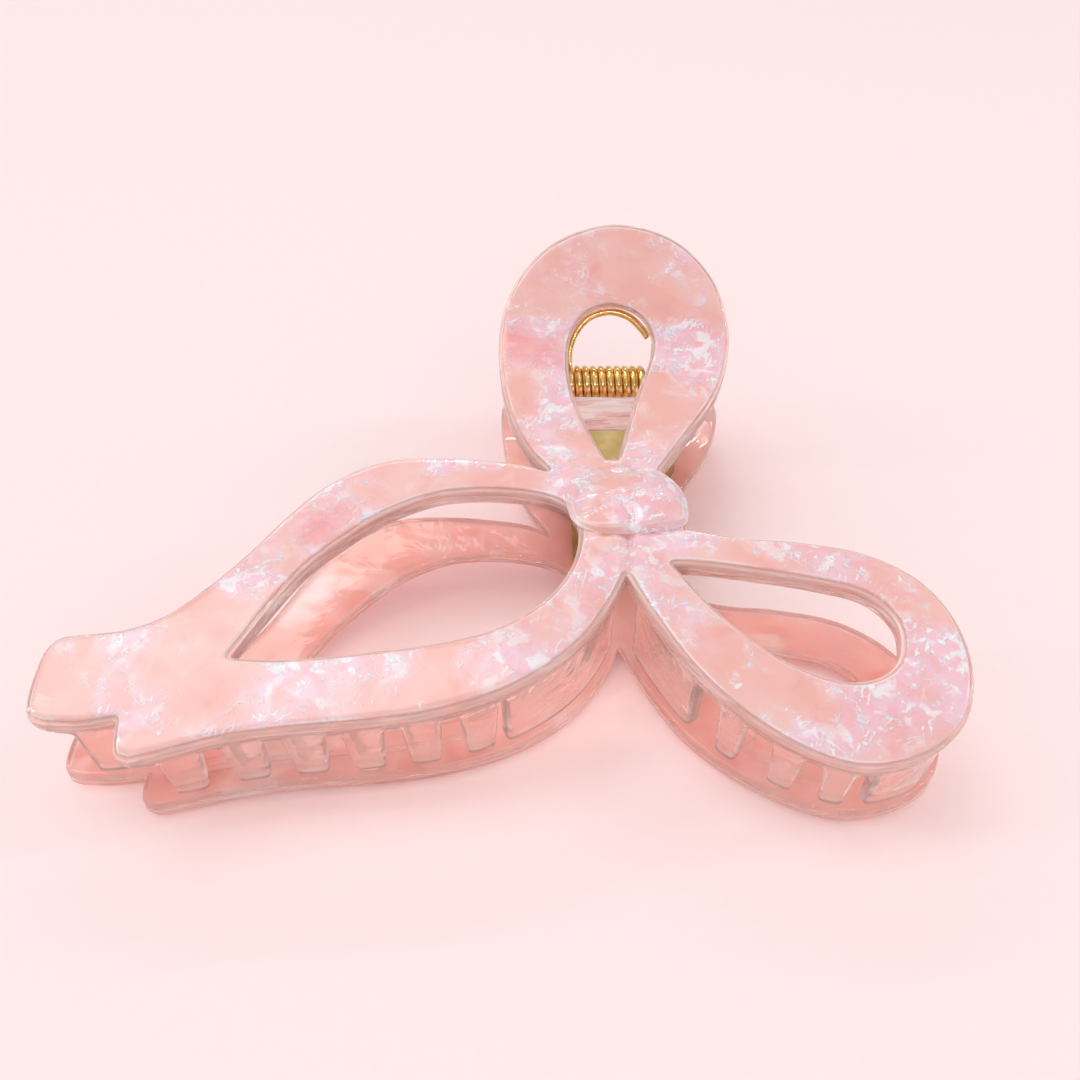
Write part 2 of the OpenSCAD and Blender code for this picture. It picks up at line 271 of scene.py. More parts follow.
class Plan:
    """A flat outline with holes, filled with triangles that follow its edges.

    rings are distances from the edges that get a row of points, spacing is the grid's inside
    them, and extra holds points for places that need a finer grid."""

    def __init__(self, outline, holes=(), rings=(), spacing=1.3, extra=()):
        loops = [turned(outline, True)] + [turned(h, False) for h in holes]
        rim = np.vstack(loops)
        points = [rim]
        for depth in rings:
            for loop in loops:
                ring = inner_ring(loop, depth)
                ring = ring[inside(ring, loops)]
                off = distance(ring, loops)
                points.append(ring[np.abs(off - depth) < 0.02 * depth + 1e-4])
        lo, hi = rim.min(0), rim.max(0)
        # A triangular grid: every other row is shifted by half a step
        rows = np.arange(lo[1], hi[1], spacing * 0.87)
        field = np.array([
            (x + (k % 2) * spacing / 2, y)
            for k, y in enumerate(rows) for x in np.arange(lo[0], hi[0], spacing)
        ])
        field = np.vstack([field] + ([np.array(extra)] if len(extra) else []))
        field = field[inside(field, loops)]
        last = rings[-1] if len(rings) else 0
        points.append(field[distance(field, loops) > last + spacing * 0.55])
        points = np.vstack(points)
        edges, first = [], 0
        for loop in loops:
            n = len(loop)
            edges += [(first + k, first + (k + 1) % n) for k in range(n)]
            first += n
        made = delaunay_2d_cdt([Vector(p) for p in points], edges, [], 0, 1e-5)
        self.points = np.array([tuple(v) for v in made[0]])
        tris = np.array([tuple(f) for f in made[2]])
        middle = self.points[tris].mean(1)
        self.tris = tris[inside(middle, loops)]
        a, b, c = (self.points[self.tris[:, k]] for k in range(3))
        u, v = b - a, c - a
        twice_area = u[:, 0] * v[:, 1] - u[:, 1] * v[:, 0]
        self.tris = self.tris[np.abs(twice_area) > 1e-7]
        self.depth = distance(self.points, loops)

    def core(self, least):
        """The same plan without the triangles nearer to its edges than the least distance."""
        part = copy.copy(self)
        part.tris = self.tris[self.depth[self.tris].min(1) >= least - 1e-3]
        return part


# ---------------------------------------------------------------- mesh helpers


def finish_mesh(name, shape, body, cad_nodes, material, crease=35):
    """A smooth closed mesh that rides on a body and stands for its CAD nodes.

    shape holds vertices, faces and, where they are known, each vertex's distance from the
    rim and its depth, which the materials read."""
    verts, faces = shape[:2]
    mesh = bpy.data.meshes.new(name)
    mesh.from_pydata([tuple(v) for v in verts], [], [tuple(int(i) for i in f) for f in faces])
    for key, values in zip(("from_rim", "depth"), shape[2:]):
        mesh.attributes.new(key, "FLOAT", "POINT").data.foreach_set("value", values)
    bm = bmesh.new()
    bm.from_mesh(mesh)
    bmesh.ops.remove_doubles(bm, verts=bm.verts, dist=1e-7)
    bmesh.ops.recalc_face_normals(bm, faces=bm.faces)
    for f in bm.faces:
        f.smooth = True
    bm.to_mesh(mesh)
    bm.free()
    mesh.set_sharp_from_angle(angle=math.radians(crease))
    mesh.materials.append(material)
    obj = bpy.data.objects.new(name, mesh)
    bpy.context.scene.collection.objects.link(obj)
    if body:
        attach(obj, body)
    if cad_nodes:
        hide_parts(*cad_nodes)
    return obj


def solid(plan, layers, bottom, place):
    """Vertices and faces of a closed solid over a plan.

    layers is a list of (least distance from the rim, top function); where two layers meet,
    a small wall joins them. Tops and bottom are functions of x, y and that distance."""
    level = np.zeros(len(plan.tris), int)
    least = plan.depth[plan.tris].min(1)
    for k, (start, _) in enumerate(layers):
        level[least >= start - 1e-3] = k
    verts, faces, gaps, depths, index = [], [], [], [], {}

    def vertex(i, k):
        key = (int(i), k)
        if key not in index:
            x, y = plan.points[i]
            f = bottom if k < 0 else layers[k][1]
            index[key] = len(verts)
            gaps.append(float(plan.depth[i]))
            depths.append(float(f(x, y, plan.depth[i])))
            verts.append(place(x, y, depths[-1]))
        return index[key]

    for t, k in zip(plan.tris, level):
        faces.append([vertex(i, k) for i in t])
        faces.append([vertex(i, -1) for i in t[::-1]])
    owner = {}
    for t, k in zip(plan.tris, level):
        for i, j in ((t[0], t[1]), (t[1], t[2]), (t[2], t[0])):
            owner[(int(i), int(j))] = k
    for (i, j), k in owner.items():
        other = owner.get((j, i))
        if other is None:
            faces.append([vertex(j, k), vertex(i, k), vertex(i, -1), vertex(j, -1)])
        elif other > k:
            faces.append([vertex(j, k), vertex(i, k), vertex(i, other), vertex(j, other)])
    return verts, faces, gaps, depths


def drop(radius):
    """How far a rounded edge falls away at a distance from the rim."""
    return lambda d: radius - math.sqrt(max(0, radius ** 2 - max(0, radius - d) ** 2))


def arc_steps(radius, n=4):
    """Distances from the rim at which a rounded edge gets a row of points."""
    return [radius * (1 - math.cos(math.pi / 2 * k / n)) for k in range(1, n + 1)]


def groove(x, y, line, width):
    """1 on a line through the given points, falling smoothly to 0 beside it."""
    best = 1e9
    for (x0, y0), (x1, y1) in zip(line, line[1:]):
        dx, dy = x1 - x0, y1 - y0
        t = max(0, min(1, ((x - x0) * dx + (y - y0) * dy) / (dx * dx + dy * dy)))
        best = min(best, math.hypot(x - x0 - t * dx, y - y0 - t * dy))
    return math.exp(-(best / width) ** 2)


# ---------------------------------------------------------------- the clip's own frame

# The clip lies on the stretch of its face between two points of this line
FACE = np.array(smooth(face_line, 3) + [np.array(face_line[-1], float)])
REST = 5
rest_run = FACE[REST + 1] - FACE[REST]
TILT = math.atan2(rest_run[1], rest_run[0])
hinge = next(j for j in frame["joints"] if j["name"] == "jaw_hinge")
ORIGIN = np.array(hinge["pos_m"]) / MM
FINE = np.array(smooth(face_line, 12) + [np.array(face_line[-1], float)])
SLOPE = np.gradient(FINE[:, 1], FINE[:, 0])


def world(x, y, z):
    """A point of the clip's own frame, in metres where it lies."""
    c, s = math.cos(TILT), math.sin(TILT)
    at = (x, y * c - z * s, y * s + z * c)
    return tuple((a + o) * MM for a, o in zip(at, ORIGIN))


def sheet_point(side):
    """Places x, y and a depth under the face of the front (1) or back (-1) half."""
    def place(x, y, depth):
        away = math.hypot(x, y + WINDOW_Y)
        lean = FLARE * unit(1 - (away - WINDOW_R) / FLARE_FADE)
        lean *= unit((y - FLARE_START) / FLARE_RUN)
        lean *= max(0, depth - RIM_DROP) / PLATE_T
        x, y = x + lean * x / away, y + lean * (y + WINDOW_Y) / away
        z = float(np.interp(y, FINE[:, 0], FINE[:, 1]))
        k = float(np.interp(y, FINE[:, 0], SLOPE))
        n = math.sqrt(1 + k * k)
        return world(x, y + depth * k / n, side * (z - depth / n))
    return place


def under(y):
    """Height of the plate's inner side above the closing plane."""
    z = float(np.interp(y, FINE[:, 0], FINE[:, 1]))
    k = float(np.interp(y, FINE[:, 0], SLOPE))
    return z - PLATE_T * math.sqrt(1 + k * k)


# ---------------------------------------------------------------- materials


class Nodes:
    """Short spelling for building a material's nodes."""

    def __init__(self, name):
        self.material = bpy.data.materials.new(name)
        self.material.use_nodes = True
        self.tree = self.material.node_tree
        self.shader = self.tree.nodes["Principled BSDF"]
        self.place = self.add("ShaderNodeTexCoord").outputs["Object"]
        self.mm = self.vector("SCALE", self.place, scale=1000.0)

    def add(self, kind, **inputs):
        """A new node, with its inputs given by name, an underline for each space."""
        made = self.tree.nodes.new(kind)
        for key, value in inputs.items():
            self.put(made.inputs[key.replace("_", " ")], value)
        return made

    def put(self, socket, value):
        """Links another node's output to a socket, or sets the socket's own value."""
        if isinstance(value, bpy.types.NodeSocket):
            self.tree.links.new(value, socket)
        elif socket.type == "RGBA" and len(value) == 3:
            socket.default_value = (*value, 1)
        else:
            socket.default_value = value

    def vector(self, operation, a, b=None, scale=None):
        made = self.tree.nodes.new("ShaderNodeVectorMath")
        made.operation = operation
        self.put(made.inputs[0], a)
        if b is not None:
            self.put(made.inputs[1], b)
        if scale is not None:
            made.inputs["Scale"].default_value = scale
        return made.outputs[0]

    def dot(self, a, b):
        return self.vector("DOT_PRODUCT", a, b).node.outputs["Value"]

    def math(self, operation, a, b=0.0, c=0.0):
        made = self.tree.nodes.new("ShaderNodeMath")
        made.operation = operation
        for socket, value in zip(made.inputs, (a, b, c)):
            self.put(socket, value)
        return made.outputs[0]

    def noise(self, scale, detail=3.0, at=None, distortion=0.0, color=False):
        made = self.add("ShaderNodeTexNoise", Vector=self.mm if at is None else at,
                        Scale=scale, Detail=detail, Distortion=distortion)
        return made.outputs["Color" if color else "Fac"]

    def warped(self, scale, amount):
        """Coordinates pushed about by a soft noise, by the amount in millimetres."""
        shift = self.vector("SUBTRACT", self.noise(scale, 2.0, color=True), (0.5, 0.5, 0.5))
        return self.vector("ADD", self.mm, self.vector("SCALE", shift, scale=amount))

    def voronoi(self, scale, at, output="Color"):
        return self.add("ShaderNodeTexVoronoi", Vector=at, Scale=scale).outputs[output]

    def ramp(self, value, low, high):
        """0 where value is low, 1 where it is high, eased in between."""
        made = self.add("ShaderNodeMapRange", Value=value, From_Min=low, From_Max=high)
        made.interpolation_type = "SMOOTHSTEP"
        return made.outputs["Result"]

    def mix(self, factor, a, b):
        # The mix node has one set of sockets per data type; these are the colour ones
        made = self.tree.nodes.new("ShaderNodeMix")
        made.data_type = "RGBA"
        self.put(made.inputs[0], factor)
        self.put(made.inputs[6], a)
        self.put(made.inputs[7], b)
        return made.outputs[2]

    def channel(self, color, which):
        made = self.add("ShaderNodeSeparateColor", Color=color)
        return made.outputs[which]

    def bump(self, height, strength, distance):
        made = self.add("ShaderNodeBump", Height=height, Strength=strength, Distance=distance)
        return made.outputs["Normal"]

    def read(self, name):
        """A value that the mesh stores at each vertex."""
        made = self.tree.nodes.new("ShaderNodeAttribute")
        made.attribute_name = name
        return made.outputs["Fac"]

    def band(self, value, middle, half_width):
        """1 where value is at the middle of a band, falling to 0 at its edges."""
        off = self.math("ABSOLUTE", self.math("SUBTRACT", value, middle))
        return self.ramp(off, half_width, 0.0)

    def let_light_through(self, color):
        """Lamps shine through the material, tinted, so that its shadows stay light."""
        mixer = self.tree.nodes.new("ShaderNodeMixShader")
        path = self.tree.nodes.new("ShaderNodeLightPath")
        clear = self.add("ShaderNodeBsdfTransparent", Color=color)
        self.tree.links.new(path.outputs["Is Shadow Ray"], mixer.inputs[0])
        self.tree.links.new(self.shader.outputs[0], mixer.inputs[1])
        self.tree.links.new(clear.outputs[0], mixer.inputs[2])
        out = self.tree.nodes["Material Output"]
        self.tree.links.new(mixer.outputs[0], out.inputs["Surface"])

    def set(self, **inputs):
        for key, value in inputs.items():
            self.put(self.shader.inputs[key.replace("_", " ")], value)


def rgb(r, g, b):
    """Linear values of a colour given from 0 to 255 as a screen shows it."""
    return tuple(((c / 255 + 0.055) / 1.055) ** 2.4 for c in (r, g, b))


def flaked_acetate():
    """Milky salmon acetate with crumpled pearly flakes under a smooth gloss, with painted glints
    on the crinkles and a painted highlight along the sheet's edge.
    """
    n = Nodes("flaked_acetate_pearl")
    soft = n.noise(0.07, 4.0)
    cloud = n.noise(0.22, 5.0, distortion=0.6)
    tone = n.mix(n.ramp(soft, 0.35, 0.68), rgb(243, 183, 174), rgb(248, 200, 194))
    tone = n.mix(n.math("MULTIPLY", n.ramp(cloud, 0.52, 0.72), 0.5), tone, rgb(253, 222, 217))
    tone = n.mix(n.math("MULTIPLY", n.ramp(cloud, 0.44, 0.26), 0.45), tone, rgb(236, 162, 152))

    # Clusters of flakes: a lavender glow with white clouds
    patch = n.ramp(n.noise(0.09, 3.5, n.vector("ADD", n.mm, (31.0, 7.0, 3.0)), 0.4), 0.43, 0.62)
    shade = n.noise(0.3, 3.0, n.warped(0.3, 3.0), 0.5)
    glow = n.mix(n.ramp(shade, 0.38, 0.6), rgb(248, 196, 212), rgb(249, 218, 244))
    cloudlet = n.ramp(n.noise(0.4, 4.0, n.warped(0.35, 4.0), 0.3), 0.53, 0.62)
    glow = n.mix(n.math("MULTIPLY", cloudlet, 0.85), glow, rgb(255, 248, 254))
    color = n.mix(n.math("MULTIPLY", patch, n.math("MULTIPLY_ADD", cloudlet, 0.3, 0.55)), tone,
                  glow)

    # Crinkles: short strokes that lie side by side, turned another way in every fold. Their white
    # is partly the flakes' pearl and partly painted glints.
    folds = n.voronoi(0.4, n.warped(0.5, 1.8))
    lean = n.vector("NORMALIZE", n.vector("SUBTRACT", folds, (0.5, 0.5, 0.5)))
    across = n.dot(n.warped(0.7, 1.1), lean)
    stroke = n.ramp(n.math("SINE", n.math("MULTIPLY", across, 8.5)), 0.35, 0.85)
    folded = n.ramp(n.channel(folds, 0), 0.5, 0.54)
    broken = n.ramp(n.noise(0.6, 2.0, n.vector("ADD", n.mm, (5.0, 2.0, 9.0))), 0.46, 0.56)
    stroke = n.math("MULTIPLY", n.math("MULTIPLY", stroke, folded), broken)
    line = n.math("ABSOLUTE", n.math("SUBTRACT", n.noise(0.5, 2.0, n.warped(0.5, 2.0)), 0.5))
    thread = n.math("MULTIPLY", n.ramp(line, 0.03, 0.008), broken)
    where = n.math("MAXIMUM", patch, n.math("MULTIPLY", n.ramp(cloud, 0.56, 0.64), 0.7))
    glint = n.math("MULTIPLY", n.math("MAXIMUM", stroke, thread), where)
    # Pearl white of the flakes together with painted glints of light
    pearl_and_glint = n.mix(n.ramp(n.channel(folds, 1), 0.72, 0.8), rgb(255, 253, 255), rgb(228, 241, 253))
    color = n.mix(n.math("MULTIPLY", glint, 0.95), color, pearl_and_glint)
    blush = n.ramp(n.noise(0.07, 1.0, n.vector("ADD", n.mm, (3.0, 40.0, 11.0))), 0.62, 0.74)
    color = n.mix(n.math("MULTIPLY", blush, 0.6), color, rgb(248, 158, 164))

    # Painted highlight: broken white lines of light along the polished edge of the sheet
    edge = n.band(n.read("from_rim"), RIM_W + 0.12, 0.16)
    # Noise that breaks the painted highlight into pieces
    highlight_gaps = n.ramp(n.noise(0.13, 3.0), 0.4, 0.6)
    color = n.mix(n.math("MULTIPLY", edge, n.math("MULTIPLY_ADD", highlight_gaps, 0.7, 0.05)), color,
                  rgb(255, 246, 246))

    height = n.math("MULTIPLY", shade, n.math("MULTIPLY", patch, 0.8))
    height = n.math("ADD", height, n.math("MULTIPLY", glint, 0.8))
    height = n.math("ADD", height, n.math("MULTIPLY", n.noise(0.35, 3.0), 0.5))
    n.set(Base_Color=color, Normal=n.bump(height, 0.5, 0.0006))
    n.set(Roughness=n.math("MULTIPLY_ADD", patch, -0.12, 0.34))
    n.set(Coat_Weight=0.7, Coat_Roughness=0.03, Coat_IOR=1.5, IOR=1.45)
    n.set(Subsurface_Weight=0.5, Subsurface_Radius=(1.0, 0.5, 0.45), Subsurface_Scale=0.002)
    n.let_light_through((0.72, 0.63, 0.62))
    return n.material


def clear_acetate():
    """Clear salmon acetate with faint flow marks."""
    n = Nodes("clear_acetate_polished")
    flow = n.noise(0.16, 3.0, n.warped(0.12, 3.0), 0.6)
    tone = n.mix(n.ramp(flow, 0.35, 0.7), rgb(251, 224, 217), rgb(255, 240, 236))
    speck = n.ramp(n.voronoi(0.3, n.warped(0.5, 1.0), "Distance"), 0.1, 0.05)
    tone = n.mix(n.math("MULTIPLY", speck, 0.8), tone, rgb(255, 246, 246))

    # Painted highlights: white lines of light along the polished edges, along the walls and in
    # streaks; painted shade: darker refracted lines beside them
    rim, depth = n.read("from_rim"), n.read("depth")
    broken = n.ramp(n.noise(0.1, 3.0), 0.38, 0.6)
    other = n.ramp(n.noise(0.14, 2.0, n.vector("ADD", n.mm, (50.0, 9.0, 2.0))), 0.42, 0.58)
    # Level streaks, painted as highlights where high and as shade where low
    layers = n.noise(0.5, 2.0, n.vector("MULTIPLY", n.warped(0.1, 1.5), (0.1, 0.1, 1.5)), 0.2)
    bright = n.math("MAXIMUM", n.band(rim, 0.2, 0.14), n.band(depth, 1.45, 0.2))
    bright = n.math("MULTIPLY", bright, n.math("MULTIPLY_ADD", broken, 0.75, 0.2))
    bright = n.math("MAXIMUM", bright, n.math("MULTIPLY", n.ramp(layers, 0.6, 0.66), 0.7))
    # Painted shade lines
    dark = n.math("MULTIPLY", n.band(depth, 1.12, 0.12), n.math("MULTIPLY_ADD", other, 0.6, 0.1))
    dark = n.math("MAXIMUM", dark, n.math("MULTIPLY", n.ramp(layers, 0.37, 0.33), 0.35))
    near_face = n.ramp(depth, 1.9, 1.1)
    tone = n.mix(n.math("MULTIPLY", near_face, 0.65), tone, rgb(249, 196, 184))
    # Painted shade first, then painted highlight over it
    tone = n.mix(dark, tone, rgb(220, 140, 130))
    tone = n.mix(bright, tone, rgb(255, 252, 252))

    n.set(Base_Color=tone, Roughness=0.03, IOR=1.45)
    n.set(Transmission_Weight=n.math("MULTIPLY_ADD", near_face, -0.4, 0.85))
    n.set(Normal=n.bump(flow, 0.3, 0.001))
    n.set(Subsurface_Weight=0.3, Subsurface_Radius=(1.0, 0.65, 0.6), Subsurface_Scale=0.003)
    n.let_light_through((0.93, 0.88, 0.87))
    return n.material


def bar_acetate():
    """Nearly colourless acetate with streaks across the bar: a bump, with painted highlights and
    painted shade along the streaks.
    """
    n = Nodes("clear_bar_streaked")
    streaks = n.noise(0.9, 3.0, n.vector("MULTIPLY", n.mm, (0.12, 1.0, 1.0)), 0.3)
    # Painted highlight where the streaks are high, painted shade where they are low
    tone = n.mix(n.ramp(streaks, 0.5, 0.56), rgb(248, 218, 212), rgb(255, 253, 253))
    tone = n.mix(n.math("MULTIPLY", n.ramp(streaks, 0.4, 0.36), 0.7), tone, rgb(206, 150, 144))
    n.set(Base_Color=tone, Roughness=0.04, IOR=1.45, Transmission_Weight=0.6)
    n.set(Normal=n.bump(streaks, 0.6, 0.001))
    n.let_light_through((0.97, 0.93, 0.92))
    return n.material


def gold_wire():
    """Bright gold plating with fine drawing marks and a little tarnish."""
    n = Nodes("gold_wire_bright")
    patina = n.noise(0.6, 4.0)
    tone = n.mix(n.ramp(patina, 0.4, 0.7), (0.95, 0.66, 0.25), (1.0, 0.83, 0.46))
    n.set(Base_Color=tone, Metallic=1.0)
    n.set(Roughness=n.math("MULTIPLY_ADD", patina, 0.16, 0.1))
    n.set(Normal=n.bump(n.noise(6.0, 2.0), 0.08, 0.0001))
    return n.material


def brass_sheet():
    """Dull stamped brass."""
    n = Nodes("brass_sheet_stamped")
    patina = n.noise(0.35, 5.0)
    tone = n.mix(n.ramp(patina, 0.35, 0.7), (0.46, 0.33, 0.13), (0.6, 0.44, 0.2))
    grain = n.noise(4.0, 3.0, n.vector("MULTIPLY", n.mm, (1.0, 0.15, 1.0)))
    n.set(Base_Color=tone, Metallic=0.85)
    n.set(Roughness=n.math("MULTIPLY_ADD", grain, 0.2, 0.3))
    n.set(Normal=n.bump(grain, 0.15, 0.0001))
    return n.material


def floor_paper():
    """Pale pink paper."""
    n = Nodes("pale_floor")
    grain = n.noise(0.5, 3.0)
    n.set(Base_Color=n.mix(grain, rgb(253, 233, 233), rgb(254, 236, 236)), Roughness=0.6)
    return n.material


# ---------------------------------------------------------------- plates


def plates(clear, flaked):
    """Each half's plate, and the flaked sheet in its shallow pocket."""
    outline = softened(closed(loop_rim, tail_top_rim, tail_cut_rim, tail_tip_rim, tail_low_rim,
                              bow_rim, knot_rim))
    # The finger window's narrow end is cut straight
    finger_tip = [finger_window[-1], finger_window[0]]
    holes = [closed(tail_window), closed(bow_window), closed(finger_window, finger_tip)]
    holes = [softened(hole) for hole in holes]
    edge_r = 0.45
    step_r = 0.3
    rings = arc_steps(edge_r) + [RIM_W] + [RIM_W + d for d in arc_steps(step_r)] + [1.5, 2.2]
    # The creases beside the knot need a finer grid
    fine = 0.35
    crease_zone = [
        (x, y) for x in np.arange(-8, 9.6, fine) for y in np.arange(-48, -35.6, fine)
    ]
    plan = Plan(outline, holes, rings, extra=crease_zone)
    round_edge = drop(edge_r)
    round_step = drop(step_r)
    hem = [(-6.6, -36.6), (-3.4, -38.8), (1.2, -39.1), (5, -38.5), (8.8, -37.5)]
    seam = [(0.7, -38), (0.9, -41.5), (0.5, -46)]
    left_ridge = [(-0.9, -38.6), (-0.8, -42), (-0.7, -45)]
    right_ridge = [(2.3, -38.6), (2.6, -42), (4.6, -49)]
    # Each with its depth and width; a ridge is a crease of negative depth
    creases = [
        (seam, 0.45, 0.45), (hem, 0.5, 0.4), (left_ridge, -0.25, 0.7), (right_ridge, -0.25, 0.7),
    ]
    pocket_gap = 0.03

    def rim_top(x, y, d):
        return RIM_DROP + round_edge(d)

    def pocket(x, y, d):
        return FACE_T + pocket_gap

    def plate_bottom(x, y, d):
        return PLATE_T - round_edge(d)

    def face_top(x, y, d):
        relief = 0.0
        if -50 < y < -35 and -9 < x < 10:
            relief = sum(depth * groove(x, y, line, width) for line, depth, width in creases)
        return round_step(d - RIM_W) + relief

    def face_bottom(x, y, d):
        return FACE_T

    face_plan = plan.core(RIM_W)
    for side, body, prefix in ((1, FRONT, "front"), (-1, BACK, "back")):
        place = sheet_point(side)
        shape = solid(plan, [(0, rim_top), (RIM_W, pocket)], plate_bottom, place)
        finish_mesh(prefix + "_plate", shape, body, [prefix + "_base"], clear)
        shape = solid(face_plan, [(0, face_top)], face_bottom, place)
        finish_mesh(prefix + "_face", shape, body, [prefix + "_face_sheet"],
                    flaked)


def knots(flaked):
    """A pebble with soft folds, standing on the face."""
    plan = Plan(closed(knot_line), (), [0.02, 0.08, 0.18, 0.35, 0.6, 0.95, 1.4, 2.0, 2.7], 0.8)
    # Depths under the face of the pebble's rim and of its flat bottom
    foot, sole = 0.15, 0.35
    # Width of its shoulder where it is soft and where it is steep, and its height
    soft_run, steep_run = 2.4, 1.0
    shoulder_h = 1.0
    # A low dome on top of the shoulder
    crown_h = KNOT_H - 1.3
    crown_x, crown_y = 2.5, -33.8
    # Lines of the folds, each with its depth and width
    folds = [
        ([(-7, -30.5), (-2, -28.4), (3.4, -26.6)], 0.35, 0.5),
        ([(-6.4, -35.8), (-1.5, -33.8), (2.6, -31.2)], 0.2, 0.7),
        ([(1.1, -39), (1.4, -36.6), (0.4, -34.6)], 0.6, 0.6),
        ([(7.4, -36), (5.2, -33.2), (4.4, -29.6)], 0.18, 0.7),
    ]

    def top(x, y, d):
        # The shoulder is steep along the jaw side and soft elsewhere
        reach = soft_run - (soft_run - steep_run) * unit((-33.5 - y) / 3)
        t = 1 - min(1, d / reach)
        # It is low at the left tip and towards the finger window
        rise = 0.12 + 0.88 * unit((x + 8.4) / 10)
        rise *= 1 - 0.6 * unit((y + 32) / 6)
        height = shoulder_h * rise * (1 - t * t * (3 - 2 * t))
        crown = crown_h * math.exp(-((x - crown_x) ** 2 / 40 + (y - crown_y) ** 2 / 16))
        height += crown * min(1, d / 3.2)
        cut = sum(depth * groove(x, y, line, width) for line, depth, width in folds)
        return foot - height + cut * min(1, d / 1.5)

    def bottom(x, y, d):
        return sole

    for side, body, prefix in ((1, FRONT, "front"), (-1, BACK, "back")):
        shape = solid(plan, [(0, top)], bottom, sheet_point(side))
        finish_mesh(prefix + "_knot_pebble", shape, body, [prefix + "_knot"],
                    flaked, crease=60)


def hinge_bars(clear):
    """The clear bar under the finger window, between the bracket and the coil."""
    half, y0, y1 = 6.8, -15.5, -9.1
    thick, root, edge_r = 1.4, 0.1, 0.4
    corners = [(-half, y0), (half, y0), (half, y1), (-half, y1), (-half, y0)]
    outline = np.array(even([np.array(c, float) for c in corners], 0.8)[:-1])
    edge = drop(edge_r)
    plan = Plan(outline, (), arc_steps(edge_r), 1.0)

    def top(x, y, d):
        return PLATE_T - root + 0.2 * edge(d)

    def bottom(x, y, d):
        return PLATE_T + thick - edge(d)

    for side, body, prefix in ((1, FRONT, "front"), (-1, BACK, "back")):
        shape = solid(plan, [(0, top)], bottom, sheet_point(side))
        finish_mesh(prefix + "_hinge_bar", shape, body, [], clear)


# ---------------------------------------------------------------- combs


class Curtain:
    """A band that hangs from the rim: along is the way along the rim, down the depth."""

    def __init__(self, stretch, start_x, end_x, inset, side):
        line = np.array(smooth(stretch, 8) + [np.array(stretch[-1], float)])
        self.line = line[(line[:, 0] >= start_x) & (line[:, 0] <= end_x)]
        step = np.linalg.norm(np.diff(self.line, axis=0), axis=1)
        self.along = np.concatenate([[0], np.cumsum(step)])
        tangent = np.gradient(self.line, self.along, axis=0)
        tangent /= np.linalg.norm(tangent, axis=1)[:, None]
        self.normal = np.stack([-tangent[:, 1], tangent[:, 0]], 1)
        self.middle = inset + COMB_T / 2
        self.side = side
        self.length = self.along[-1]

    def at_x(self, x):
        """The way along the rim to the place with this x."""
        return float(np.interp(x, self.line[:, 0], self.along))

    def point(self, along, offset):
        """x and y of a place along the rim, offset into the outline."""
        p = [np.interp(along, self.along, self.line[:, k]) for k in range(2)]
        m = [np.interp(along, self.along, self.normal[:, k]) for k in range(2)]
        return p[0] + m[0] * offset, p[1] + m[1] * offset

    def room(self, along):
        """Distance between the two plates here, less the gap left at the tip."""
        return 2 * under(self.point(along, self.middle)[1]) - TIP_GAP

    def place(self, along, down, across):
        x, y = self.point(along, self.middle - across)
        z = under(self.point(along, self.middle)[1]) - down
        return world(x, y, self.side * z)


def corner(a, b, c, radius, n=4):
    """A rounded corner at b between the directions to a and c."""
    a, b, c = (np.array(p, float) for p in (a, b, c))
    u, v = (a - b) / np.linalg.norm(a - b), (c - b) / np.linalg.norm(c - b)
    half = math.acos(max(-1, min(1, u.dot(v)))) / 2
    reach = radius / math.tan(half)
    start, end = b + u * reach, b + v * reach
    centre = b + (u + v) / np.linalg.norm(u + v) * radius / math.sin(half)
    a0 = math.atan2(*(start - centre)[::-1])
    a1 = math.atan2(*(end - centre)[::-1])
    sweep = (a1 - a0 + math.pi) % (2 * math.pi) - math.pi
    return [
        centre + radius * np.array([math.cos(a0 + sweep * k / n), math.sin(a0 + sweep * k / n)])
        for k in range(n + 1)
    ]


def comb(curtain, drops):
    """One strip: a rail along the rim with teeth and walls that hang from it.

    drops holds (left at the root, right at the root, left at the tip, right at the tip)."""
    top, tip_r, root_r, edge_r = -0.8, 1.0, 0.5, 0.7
    # A drop nearer than this to an end of the strip takes that end over
    margin = 0.6
    # Far enough along the rail to point a corner's side that way
    far = 5
    # Points along a tip, which follows the other half's plate
    tip_margin, tip_step = 1.5, 1.2
    starts = drops[0][0] > margin
    ends = drops[-1][1] < curtain.length - margin
    lower = []
    for a, b, c, d in drops:
        reach_c, reach_d = curtain.room(c), curtain.room(d)
        if a > margin:
            lower += corner((a - far, RAIL_H), (a, RAIL_H), (c, reach_c), root_r)
        lower += corner((a, RAIL_H if a > margin else top), (c, reach_c), (d, reach_d), tip_r)
        middle = np.arange(c + tip_margin, d - tip_margin, tip_step)
        lower += [np.array([s, curtain.room(s)]) for s in middle]
        lower += corner((c, reach_c), (d, reach_d), (b, RAIL_H), tip_r)
        if b < curtain.length - margin:
            lower += corner((d, reach_d), (b, RAIL_H), (b + far, RAIL_H), root_r)
    start = 0 if starts else drops[0][0]
    end = curtain.length if ends else drops[-1][1]
    head = [np.array([start, top])]
    if starts:
        head += corner((start, top), (start, RAIL_H), (start + far, RAIL_H), root_r)
    tail = []
    if ends:
        tail += corner((end - far, RAIL_H), (end, RAIL_H), (end, top), root_r)
    tail += [np.array([end, top])]
    path = head + lower + tail
    outline = np.array(even(path + [path[0]], 0.7)[:-1])
    keep = np.linalg.norm(outline - np.roll(outline, 1, 0), axis=1) > 1e-3
    edge = drop(edge_r)
    half = COMB_T / 2
    plan = Plan(outline[keep], (), arc_steps(edge_r), 1.0)

    def outer(along, down, d):
        return half - edge(d)

    def inner(along, down, d):
        return edge(d) - half

    verts, faces, gaps, _ = solid(plan, [(0, outer)], inner, curtain.place)
    return verts, faces, gaps, [NO_LINES] * len(verts)


